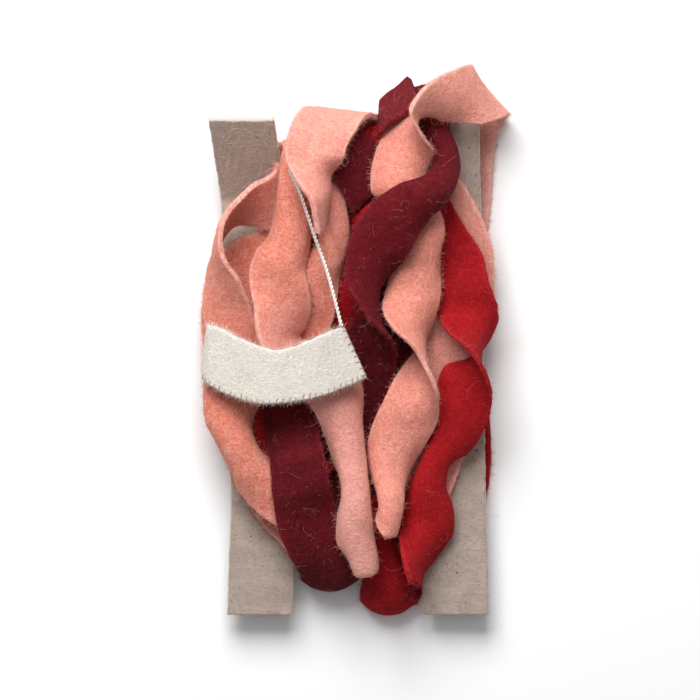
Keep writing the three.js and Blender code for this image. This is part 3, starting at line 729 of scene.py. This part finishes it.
def stripMesh(name, points, rim, tones, spec):
    stations, ringSize = points.shape[:2]
    faces = []
    for s in range(stations - 1):
        for p in range(ringSize):
            q = (p + 1) % ringSize
            a = s * ringSize
            faces.append((a + p, a + q, a + ringSize + q, a + ringSize + p))
    columns = spec["columns"]
    backStart = columns + 1 + len(rimSteps)
    for station in (0, stations - 1):
        cap = []
        for k in range(columns):
            back = backStart + columns - k
            cap.append((k, k + 1, back - 1, back))
        cap.append((*range(columns, backStart + 1),))
        cap.append((*range(backStart + columns, ringSize), 0))
        for face in cap:
            faces.append([station * ringSize + k for k in face])
    data = bpy.data.meshes.new(name)
    data.from_pydata(points.reshape(-1, 3).tolist(), [], faces)
    for label, values in (("rim", rim), ("tone", np.repeat(tones, ringSize))):
        layer = data.attributes.new(label, "FLOAT", "POINT")
        layer.data.foreach_set("value", values.reshape(-1).astype(np.float32))
    mesh = bmesh.new()
    mesh.from_mesh(data)
    bmesh.ops.recalc_face_normals(mesh, faces=mesh.faces)
    mesh.to_mesh(data)
    mesh.free()
    data.shade_smooth()
    return data


# Stray fibres that stand out of a strip: short fuzz, thickest along its cut edges, and long curls
hairKinds = {
    "fuzz": {
        "radius": 0.06 * mm,
        "length": (0.9 * mm, 3.4 * mm),
        "segments": 2,
        "edgeShare": 0.55,
        "lean": 0.42,  # how far they lie over sideways
        "curl": 0.6,  # radians, the most that a hair turns at each of its segments
    },
    "curls": {
        "radius": 0.065 * mm,
        "length": (3 * mm, 12 * mm),
        "segments": 9,
        "edgeShare": 0.3,
        "lean": 0.96,
        "curl": 0.62,
    },
}
hairRoot = {
    "depth": 0.25 * mm,  # of its root in the felt
    "shorter": 1.6,  # above 1, more of the hairs are short
    "taper": 0.5,  # share of the thickness lost by the tip
}


def unit(rows):
    return rows / np.linalg.norm(rows, axis=1, keepdims=True)


def hairTubes(kind, count, points, ups, outward, outline, rng):
    rimPlaces = [p for p, (_, h) in enumerate(outline) if abs(h) < 1]
    facePlaces = [p for p, (_, h) in enumerate(outline) if abs(h) == 1]
    onEdge = rng.random(count) < kind["edgeShare"]
    which = np.where(onEdge, rng.choice(rimPlaces, count), rng.choice(facePlaces, count))
    at = rng.integers(0, len(points), count)
    beside = np.minimum(at + 1, len(points) - 1)
    share = rng.random(count)[:, None]
    roots = points[at, which] * (1 - share) + points[beside, which] * share
    sign = np.sign(np.array([2 * outline[p][0] - 1 for p in which]))
    normals = np.where(onEdge[:, None], outward[at] * sign[:, None], ups[at, which])
    heading = unit(normals + kind["lean"] * rng.normal(size=(count, 3)))
    shortest, longest = kind["length"]
    sizes = shortest + (longest - shortest) * rng.random(count) ** hairRoot["shorter"]
    axis = unit(rng.normal(size=(count, 3)))
    bend = kind["curl"] * rng.uniform(0.3, 1, count)[:, None]
    side = unit(np.cross(heading, axis))
    place = roots - normals * hairRoot["depth"]
    corners = []
    for step in range(kind["segments"] + 1):
        radius = kind["radius"] * (1 - hairRoot["taper"] * step / kind["segments"])
        other = np.cross(heading, side)
        for k in range(3):
            angle = 2 * math.pi * k / 3
            corners.append(place + (side * math.cos(angle) + other * math.sin(angle)) * radius)
        heading = unit(heading * np.cos(bend) + np.cross(axis, heading) * np.sin(bend))
        side = unit(side - heading * (side * heading).sum(axis=1, keepdims=True))
        place = place + heading * (sizes / kind["segments"])[:, None]
    corners = np.stack(corners, axis=1)
    corners[:, :, 2] = np.maximum(corners[:, :, 2], kind["radius"])
    return corners


def addHairs(name, strip, spec, dye, length, rng):
    points, ups, outward = strip
    outline = profileOf(spec)
    places = []
    faces = []
    finishes = []
    for finish, (label, kind) in enumerate(hairKinds.items()):
        count = max(1, int(feltColours[dye][label] * length / mm))
        corners = hairTubes(kind, count, points, ups, outward, outline, rng)
        size = corners.shape[1]
        start = sum(len(rows) for rows in places)
        places.append(corners.reshape(-1, 3))
        for a in range(start, start + count * size, size):
            for b in range(a, a + size - 3, 3):
                for k in range(3):
                    m = (k + 1) % 3
                    faces.append((b + k, b + m, b + 3 + m, b + 3 + k))
            faces.append((a + 2, a + 1, a))
            faces.append((a + size - 3, a + size - 2, a + size - 1))
        finishes += [finish] * (len(faces) - len(finishes))
    data = bpy.data.meshes.new(name)
    data.from_pydata(np.concatenate(places).tolist(), [], faces)
    data.shade_smooth()
    for material in hairMaterials[dye]:
        data.materials.append(material)
    data.polygons.foreach_set("material_index", finishes)
    piece = newObject(name, data)
    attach(piece, "root")
    return piece


# The tab has crisp edges, with blanket stitches over its right end and its lower edge
tab = {
    "rimRound": 1.2 * mm,
    "rimWander": 0.45 * mm,
    "faceWander": 0.3 * mm,
    "alongStep": 1.4 * mm,
    "stitchGap": 3.4 * mm,
    "stitchDepth": 2.3 * mm,
    "stitchUneven": 0.15,  # of the depth
    "stitchSlant": 0.5 * mm,
    "stitchStart": 5 * mm,  # from the tab's left end
    "endMargin": 2 * mm,  # free at both ends of the row over the right end
    "edgeStep": 0.25 * mm,  # between the places on the edge where a stitch can start
    "seed": 11,
    "threadRadius": 0.31 * mm,
    "threadStep": 0.5 * mm,
    "thread": (0.40, 0.285, 0.18, 1),
    "threadShade": (0.22, 0.15, 0.09, 1),
}


# A thread drawn through a few points, as a closed tube
def addThread(mesh, points, radius, step):
    line, _ = evenLine(points, step)
    rings = []
    for point, side, up in framesAlong(line, Vector((0.31, 0.47, 0.82))):
        rings.append([
            point + (side * math.cos(math.pi * k / 3) + up * math.sin(math.pi * k / 3)) * radius
            for k in range(6)
        ])
    addTube(mesh, rings)


def blanketStitches(rings, spec, material):
    top = [[Vector(p) for p in ring[:faceCorners]] for ring in rings]
    low = [[Vector(p) for p in ring[:faceCorners - 1:-1]] for ring in rings]
    if top[0][2].z < low[0][2].z:
        top, low = low, top
    if top[0][0].y < top[0][-1].y:
        top = [ring[::-1] for ring in top]
        low = [ring[::-1] for ring in low]
    if top[0][0].x > top[-1][0].x:
        top.reverse()
        low.reverse()
    radius = spec["threadRadius"]
    path = []
    lowerEdge = [(a[-1], b[-1], (a[-2] - a[-1]).normalized()) for a, b in zip(top, low)]
    ends = zip(top[-1], low[-1], top[-2])
    rightEnd = [(a, b, (inner - a).normalized()) for a, b, inner in ends][::-1]
    margin = spec["endMargin"]
    for corners, startGap, endGap in ((lowerEdge, spec["stitchStart"], 0), (rightEnd, margin, margin)):
        fronts, reach = evenLine([c[0] for c in corners], spec["edgeStep"])
        backs = evenLine([c[1] for c in corners], spec["edgeStep"])[0]
        count = int((reach - startGap - endGap) / spec["stitchGap"])
        for k in range(count + 1):
            share = (startGap + k * spec["stitchGap"]) / reach
            at = min(round(share * (len(fronts) - 1)), len(fronts) - 1)
            inward = corners[min(round(share * (len(corners) - 1)), len(corners) - 1)][2]
            path.append((fronts[at], backs[min(at, len(backs) - 1)], inward))
    mesh = bmesh.new()
    rng = random.Random(spec["seed"])
    knots = []
    for front, back, inward in path:
        up = (front - back).normalized()
        depth = spec["stitchDepth"] * rng.uniform(1 - spec["stitchUneven"], 1 + spec["stitchUneven"])
        slant = inward.cross(up) * rng.uniform(-1, 1) * spec["stitchSlant"]
        lift = up * radius * 0.6
        rimPoint = (front + back) / 2 - inward * radius * 0.8
        addThread(mesh, [
            front + inward * depth + slant - up * 0.8 * mm,
            front + inward * (depth - 0.35 * mm) + slant + lift,
            front + inward * depth * 0.4 + slant * 0.4 + lift,
            front - inward * radius * 0.5 + lift * 0.6,
            rimPoint,
            back - inward * radius * 0.5 - lift * 0.6,
            back + inward * depth * 0.5 - lift,
            back + inward * depth * 0.9 - lift + up * 0.5 * mm,
        ], radius, spec["threadStep"])
        knots.append(rimPoint)
    for a, b in zip(knots, knots[1:]):
        if (b - a).length < 2 * spec["stitchGap"]:
            addThread(mesh, [a, a.lerp(b, 0.33), a.lerp(b, 0.67), b], radius * 0.9, spec["threadStep"])
    piece = newObject("tab_stitches", meshFrom(mesh, "tab_stitches"))
    piece.data.materials.append(material)
    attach(piece, "root")
    say(f"tab stitches: {len(path)}")
    return piece


# Dye and painted shade along a ribbon, as a warmth at each station
def toneAlong(node, stations):
    rows = dyeAndShadeDrift.get(node, plainDrift)
    shares, warmths = zip(*rows)
    return np.interp(np.linspace(0, 1, stations), shares, warmths)


def makeFelt(node, seed):
    name = node.replace("_ribbon", "_felt").replace("cream_tab", "cream_felt_tab")
    dye = node.split("_")[0]
    rings = ringsOf(nodes[node])
    spec = {**felt, **tab} if dye == "cream" else felt
    points, rim, ups, outward, length = fineStrip(rings, spec, seed, bunchedEnds.get(node))
    tones = toneAlong(node, len(points))
    piece = newObject(name, stripMesh(name, points, rim, tones, spec))
    piece.data.materials.append(feltMaterials[dye])
    rng = np.random.default_rng(seed)
    hairs = addHairs(name + "_hairs", (points, ups, outward), spec, dye, length, rng)
    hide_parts(node)
    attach(piece, "root")
    if dye == "cream":
        thread = cottonMaterial("tanThread", tab["thread"], tab["threadShade"], cotton)
        blanketStitches(rings, spec, thread)
    say(f"{name}: {length / mm:.0f} mm long, {len(points)} stations")
    return piece


feltMaterials = {dye: feltMaterial(dye + "Felt", spec, feltLook) for dye, spec in feltColours.items()}
hairMaterials = {
    dye: [
        hairMaterial(dye + "Fuzz", spec["warm"], spec["light"], hairLook),
        hairMaterial(dye + "Curls", spec["light"], spec["hair"], hairLook),
    ]
    for dye, spec in feltColours.items()
}
for seed, node in enumerate(sorted(nodes)):
    if node not in ("card_winder", "twisted_string"):
        makeFelt(node, seed)


# The card winder: thick recycled board, its corners worn round and its cut ends rough
board = {
    "voxel": 1.1 * mm,
    "faceWander": 0.22 * mm,
    "wanderLength": 16 * mm,
    "edgeRough": 0.30 * mm,
    "edgeLength": 2.4 * mm,
    "mat": {"Fibre Scale": 620.0, "Length": 9.0},
    "bump": 0.2 * mm,
    "bumpStrength": 0.8,
    "rough": (0.96, 0.8),
    "specular": 0.25,
    "base": (0.36, 0.28, 0.235, 1),
    "light": (0.465, 0.375, 0.325, 1),
    "dark": (0.24, 0.185, 0.15, 1),
    "bentLegShade": (0.22, 0.15, 0.12, 1),
    "cutEnd": (0.72, 0.65, 0.59, 1),
    "torn": (0.60, 0.54, 0.48, 1),
    "speck": (0.10, 0.08, 0.075, 1),
    "red": (0.42, 0.07, 0.06, 1),
    "blue": (0.08, 0.14, 0.34, 1),
    "straw": (0.34, 0.28, 0.12, 1),
    # each kind's colour, cells in a metre, size in its cell, share of the cells and start of its pattern
    "flecks": [
        ("speck", 330.0, 0.19, 0.05, 0.0),
        ("dark", 760.0, 0.36, 0.22, 0.31),
        ("light", 620.0, 0.30, 0.12, 0.57),
        ("speck", 120.0, 0.13, 0.10, 0.41),
        ("red", 150.0, 0.13, 0.06, 0.13),
        ("blue", 130.0, 0.15, 0.08, 0.77),
        ("straw", 130.0, 0.15, 0.10, 0.93),
    ],
    "leftLeg": (-30 * mm, -20 * mm),  # x from which it is the left leg to where it surely isn't
    "bentLegShadeFrom": (66 * mm, 80 * mm),  # y over which painted shade makes the bent leg darker and browner
    "bentLegShadeShare": 0.62,
    "tornFrom": (110.2 * mm, 110.7 * mm),  # y over which its end's skin is torn off
    "tornJags": 2.4 * mm,
    "steepFrom": 0.84,  # upright share of the normal, below which it is a worn edge
}


def boardMaterial(spec):
    material, desk, shader = newMaterial("winderBoard")
    where = desk.place("ShaderNodeTexCoord").outputs["Object"]
    mat = useGroup(desk, fibreMat, spec["mat"])
    blotches = desk.spread(desk.noise(where, 60.0, 5.0, 0.65, 0.8), 0.34, 0.66)
    colour = desk.mix(blotches, spec["base"], spec["light"])
    colour = desk.lay(colour, mat["Clouds"], 0.45, spec["dark"])
    axes = desk.place("ShaderNodeSeparateXYZ", {"Vector": where})
    # Painted shade: the bent left leg's upper part darker and browner
    high = desk.spread(axes.outputs["Y"], *spec["bentLegShadeFrom"])
    left = desk.spread(axes.outputs["X"], *spec["leftLeg"], (1.0, 0.0))
    colour = desk.lay(colour, desk.math("MULTIPLY", high, left), spec["bentLegShadeShare"], spec["bentLegShade"])
    colour = desk.lay(colour, mat["Streaks"], 0.5, spec["light"])
    for tint, scale, size, share, offset in spec["flecks"]:
        spots = useGroup(desk, specks, {
            "Speck Scale": scale, "Size": size, "Share": share, "Offset": offset,
        })
        strength = desk.math("MULTIPLY", spots["Mask"], desk.spread(spots["Chance"], 0, 1, (0.45, 0.95)))
        colour = desk.mix(strength, colour, spec[tint])
    normal = desk.place("ShaderNodeNewGeometry").outputs["Normal"]
    facing = desk.place("ShaderNodeSeparateXYZ", {"Vector": normal})
    steep = desk.spread(desk.math("ABSOLUTE", facing.outputs["Z"]), spec["steepFrom"], 0.45)
    worn = desk.math("MULTIPLY", steep, desk.spread(desk.noise(where, 500.0, 3.0), 0.3, 0.6, (0.45, 1.0)))
    colour = desk.lay(colour, worn, 0.9, spec["cutEnd"])
    jagged = desk.math("MULTIPLY", desk.noise(where, 220.0, 4.0), spec["tornJags"])
    torn = desk.spread(desk.math("ADD", axes.outputs["Y"], jagged), *spec["tornFrom"])
    colour = desk.lay(colour, torn, left, spec["torn"])
    desk.feed(shader.inputs["Base Color"], colour)
    desk.feed(shader.inputs["Roughness"], desk.spread(mat["Streaks"], 0, 1, spec["rough"]))
    grain = desk.math("MULTIPLY", desk.noise(where, 900.0, 4.0), 1.2)
    rough = desk.math("ADD", mat["Height"], grain)
    desk.feed(shader.inputs["Normal"], bumpOf(desk, rough, spec["bump"], spec["bumpStrength"]))
    shader.inputs["Specular IOR Level"].default_value = spec["specular"]
    return material


def makeBoard(spec, material):
    source = newObject("boardSource", nodes["card_winder"].data.copy())
    mesh = bmesh.new()
    mesh.from_mesh(source.data)
    bmesh.ops.remove_doubles(mesh, verts=mesh.verts, dist=weldGap)
    mesh.to_mesh(source.data)
    mesh.free()
    remesh = source.modifiers.new("evenMesh", "REMESH")
    remesh.mode = "VOXEL"
    remesh.voxel_size = spec["voxel"]
    bpy.context.view_layer.update()
    ready = source.evaluated_get(bpy.context.evaluated_depsgraph_get())
    data = bpy.data.meshes.new_from_object(ready)
    bpy.data.objects.remove(source)
    data.name = "board_winder"
    normals = np.zeros(len(data.vertices) * 3)
    data.vertices.foreach_get("normal", normals)
    normals = normals.reshape(-1, 3)
    for vertex, normal in zip(data.vertices, normals):
        place = vertex.co
        swell = noise.noise(place / spec["wanderLength"]) * spec["faceWander"]
        steep = max(0.0, min(1.0, (spec["steepFrom"] - abs(normal[2])) / 0.4))
        fray = noise.noise(place / spec["edgeLength"] + Vector((3, 1, 5))) * spec["edgeRough"] * steep
        vertex.co = place + Vector(normal) * (swell + fray)
    data.shade_smooth()
    data.materials.clear()
    data.materials.append(material)
    piece = newObject("board_winder", data)
    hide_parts("card_winder")
    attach(piece, "root")
    say(f"board: {len(data.vertices)} points")
    return piece


makeBoard(board, boardMaterial(board))


# Floor and lights
studio = {
    "floor": (0.96, 0.96, 0.96, 1),
    "floorGrain": (0.9, 0.9, 0.9, 1),
    "reach": 3,  # of the table top, from the middle
    "world": 0.22,
    "window": {"place": (-0.2, 0.85, 1.0), "size": 0.9, "power": 24},
    "above": {"place": (0.1, 0.1, 1.6), "size": 1.4, "power": 3.5},
}


def floorMaterial(spec):
    material, desk, shader = newMaterial("paleTable")
    where = desk.place("ShaderNodeTexCoord").outputs["Object"]
    grain = desk.noise(where, 300.0, 3.0)
    desk.feed(shader.inputs["Base Color"], desk.lay(spec["floor"], grain, 0.04, spec["floorGrain"]))
    shader.inputs["Roughness"].default_value = 0.95
    return material


def areaLight(name, spec):
    data = bpy.data.lights.new(name, "AREA")
    data.size = spec["size"]
    data.energy = spec["power"]
    light = bpy.data.objects.new(name, data)
    light.location = spec["place"]
    light.rotation_euler = (-Vector(spec["place"])).to_track_quat("-Z", "Y").to_euler()
    bpy.context.scene.collection.objects.link(light)


def makeStudio(spec):
    reach = spec["reach"]
    corners = [(-reach, -reach, 0), (reach, -reach, 0), (reach, reach, 0), (-reach, reach, 0)]
    sheet = bpy.data.meshes.new("tableTop")
    sheet.from_pydata(corners, [], [(0, 1, 2, 3)])
    table = newObject("tableTop", sheet)
    table.data.materials.append(floorMaterial(spec))
    areaLight("windowLight", spec["window"])
    areaLight("lightAbove", spec["above"])
    world = bpy.data.worlds.new("studio")
    bpy.context.scene.world = world
    world.use_nodes = True
    world.node_tree.nodes["Background"].inputs["Color"].default_value = (1, 1, 1, 1)
    world.node_tree.nodes["Background"].inputs["Strength"].default_value = spec["world"]
    bpy.context.scene.view_settings.view_transform = "Standard"
    say("studio ready")


makeStudio(studio)
